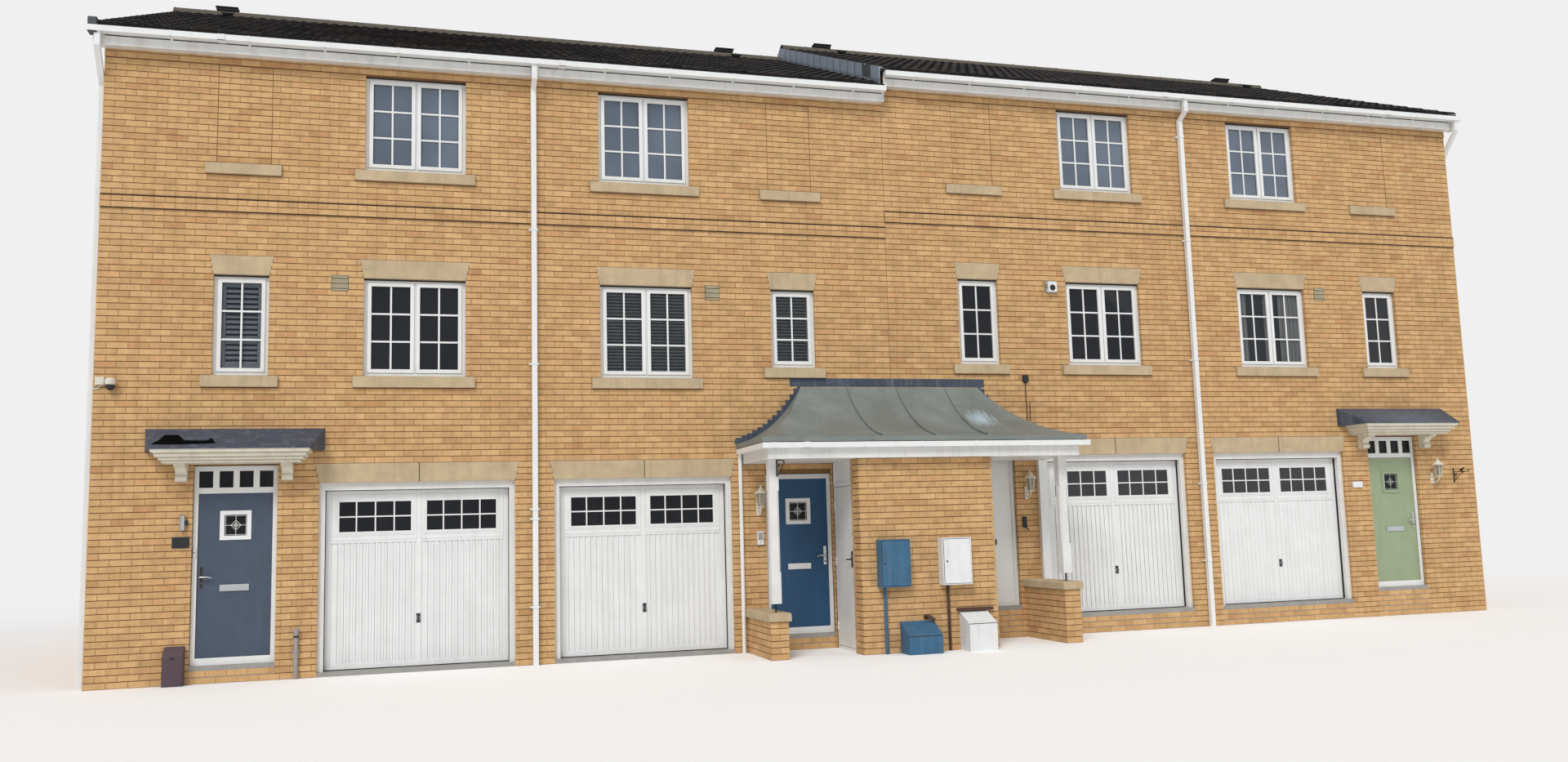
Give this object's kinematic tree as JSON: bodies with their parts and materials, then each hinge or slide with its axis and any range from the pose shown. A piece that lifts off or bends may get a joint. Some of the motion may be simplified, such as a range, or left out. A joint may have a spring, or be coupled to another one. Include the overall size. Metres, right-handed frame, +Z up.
{
  "type": "terraced house row",
  "caption": "Row of terraced houses in buff brick with garages, a shared swept porch, door canopies and a stepped tiled roof",
  "frame": {"origin": "At ground level under the middle of the row, where the two pairs meet, halfway between the front and rear faces", "axes": "+X to the right along the row as seen from the street, +Y into the houses from the street face to the rear, +Z up"},
  "size_m": [19.64, 10.67, 10.055],
  "materials": {
    "brick": "buff multi-tone facing brick, rough, with tan mortar",
    "concrete": "trowelled concrete floor",
    "timber": "planed softwood floor",
    "roof_tile": "dark grey-brown concrete tile with lichen",
    "ridge_tile": "grey-brown concrete ridge tile",
    "verge_plastic": "slate grey verge unit",
    "lead": "dull grey sheet lead",
    "white_upvc": "white window plastic, satin",
    "stone": "buff reconstructed stone, fine grained",
    "window_glass": "clear glass before dark rooms",
    "vent_plastic": "buff moulded plastic",
    "slate_blue_door": "slate blue door skin, satin",
    "blue_door": "mid blue door skin, satin",
    "sage_door": "sage green door skin, satin",
    "garage_white": "white painted pressed steel",
    "white_timber": "white gloss paint, slightly aged",
    "galvanised": "galvanised steel",
    "canopy_white": "white moulded canopy, satin",
    "porch_sheet": "grey-green weathered sheet",
    "meter_white": "white moulded box",
    "meter_blue": "blue moulded box, weathered"
  },
  "bodies": {
    "building": {"left_front_wall": "brick", "right_front_wall": "brick", "front_piers": "brick", "left_rear_wall": "brick", "right_rear_wall": "brick", "end_walls": "brick", "party_walls": "brick", "ground_slabs": "concrete", "upper_floors": "timber", "left_roof": "roof_tile", "right_roof": "roof_tile", "ridge_tiles": "ridge_tile", "roof_vents": "roof_tile", "verge_units": "verge_plastic", "lead_flashings": "lead", "eaves_boards": "white_upvc", "gutters": "white_upvc", "downpipes": "white_upvc", "window_sills": "stone", "stone_lintels": "stone", "window_frames": "white_upvc", "window_glass": "window_glass", "air_vents": "vent_plastic", "door_frames": "white_upvc", "garage_frames": "white_timber", "end_left_tracks": "galvanised", "mid_left_tracks": "galvanised", "mid_right_tracks": "galvanised", "end_right_tracks": "galvanised", "door_canopies": "canopy_white", "porch_roof": "porch_sheet", "porch_posts": "white_timber", "porch_brickwork": "brick", "porch_copings": "stone", "left_meter_boxes": "meter_blue", "right_meter_boxes": "meter_white"},
    "end_left_door": {"end_left_door": "slate_blue_door"},
    "mid_left_door": {"mid_left_door": "blue_door"},
    "mid_right_door": {"mid_right_door": "white_upvc"},
    "end_right_door": {"end_right_door": "sage_door"},
    "left_store_door": {"left_store_door": "white_timber"},
    "right_store_door": {"right_store_door": "white_timber"},
    "end_left_carriage": {"end_left_rollers": "galvanised"},
    "end_left_garage_door": {"end_left_garage_door": "garage_white"},
    "mid_left_carriage": {"mid_left_rollers": "galvanised"},
    "mid_left_garage_door": {"mid_left_garage_door": "garage_white"},
    "mid_right_carriage": {"mid_right_rollers": "galvanised"},
    "mid_right_garage_door": {"mid_right_garage_door": "garage_white"},
    "end_right_carriage": {"end_right_rollers": "galvanised"},
    "end_right_garage_door": {"end_right_garage_door": "garage_white"}
  },
  "joints": [
    {"name": "end_left_door_swing", "type": "hinge", "parent": "building", "child": "end_left_door", "pos_m": [-7.7515, -4.362, 1.3], "axis": [0, 0, 1], "range_deg": [-90, 0]},
    {"name": "mid_left_door_swing", "type": "hinge", "parent": "building", "child": "mid_left_door", "pos_m": [-1.7535, -4.362, 1.3], "axis": [0, 0, 1], "range_deg": [0, 90]},
    {"name": "mid_right_door_swing", "type": "hinge", "parent": "building", "child": "mid_right_door", "pos_m": [1.7535, -4.362, 1.525], "axis": [0, 0, 1], "range_deg": [-90, 0]},
    {"name": "end_right_door_swing", "type": "hinge", "parent": "building", "child": "end_right_door", "pos_m": [7.7515, -4.362, 1.525], "axis": [0, 0, 1], "range_deg": [0, 90]},
    {"name": "left_store_door_swing", "type": "hinge", "parent": "building", "child": "left_store_door", "pos_m": [-0.888, -4.585, 1.1], "axis": [0, 0, 1], "range_deg": [-90, 0]},
    {"name": "right_store_door_swing", "type": "hinge", "parent": "building", "child": "right_store_door", "pos_m": [0.888, -4.585, 1.22], "axis": [0, 0, 1], "range_deg": [0, 90]},
    {"name": "end_left_track_run", "type": "slide", "parent": "building", "child": "end_left_carriage", "axis": [0, 1, 0], "range_m": [0, 2.25]},
    {"name": "end_left_garage_tilt", "type": "hinge", "parent": "end_left_carriage", "child": "end_left_garage_door", "pos_m": [-6.1225, -4.335, 2.134], "axis": [1, 0, 0], "range_deg": [-90, 0]},
    {"name": "mid_left_track_run", "type": "slide", "parent": "building", "child": "mid_left_carriage", "axis": [0, 1, 0], "range_m": [0, 2.25]},
    {"name": "mid_left_garage_tilt", "type": "hinge", "parent": "mid_left_carriage", "child": "mid_left_garage_door", "pos_m": [-3.3825, -4.335, 2.134], "axis": [1, 0, 0], "range_deg": [-90, 0]},
    {"name": "mid_right_track_run", "type": "slide", "parent": "building", "child": "mid_right_carriage", "axis": [0, 1, 0], "range_m": [0, 2.25]},
    {"name": "mid_right_garage_tilt", "type": "hinge", "parent": "mid_right_carriage", "child": "mid_right_garage_door", "pos_m": [3.3825, -4.335, 2.359], "axis": [1, 0, 0], "range_deg": [-90, 0]},
    {"name": "end_right_track_run", "type": "slide", "parent": "building", "child": "end_right_carriage", "axis": [0, 1, 0], "range_m": [0, 2.25]},
    {"name": "end_right_garage_tilt", "type": "hinge", "parent": "end_right_carriage", "child": "end_right_garage_door", "pos_m": [6.1225, -4.335, 2.359], "axis": [1, 0, 0], "range_deg": [-90, 0]}
  ],
  "couplings": [
    {"joint": "end_left_garage_tilt", "follows": "end_left_track_run", "rad_per_m": -0.69813},
    {"joint": "mid_left_garage_tilt", "follows": "mid_left_track_run", "rad_per_m": -0.69813},
    {"joint": "mid_right_garage_tilt", "follows": "mid_right_track_run", "rad_per_m": -0.69813},
    {"joint": "end_right_garage_tilt", "follows": "end_right_track_run", "rad_per_m": -0.69813}
  ]
}
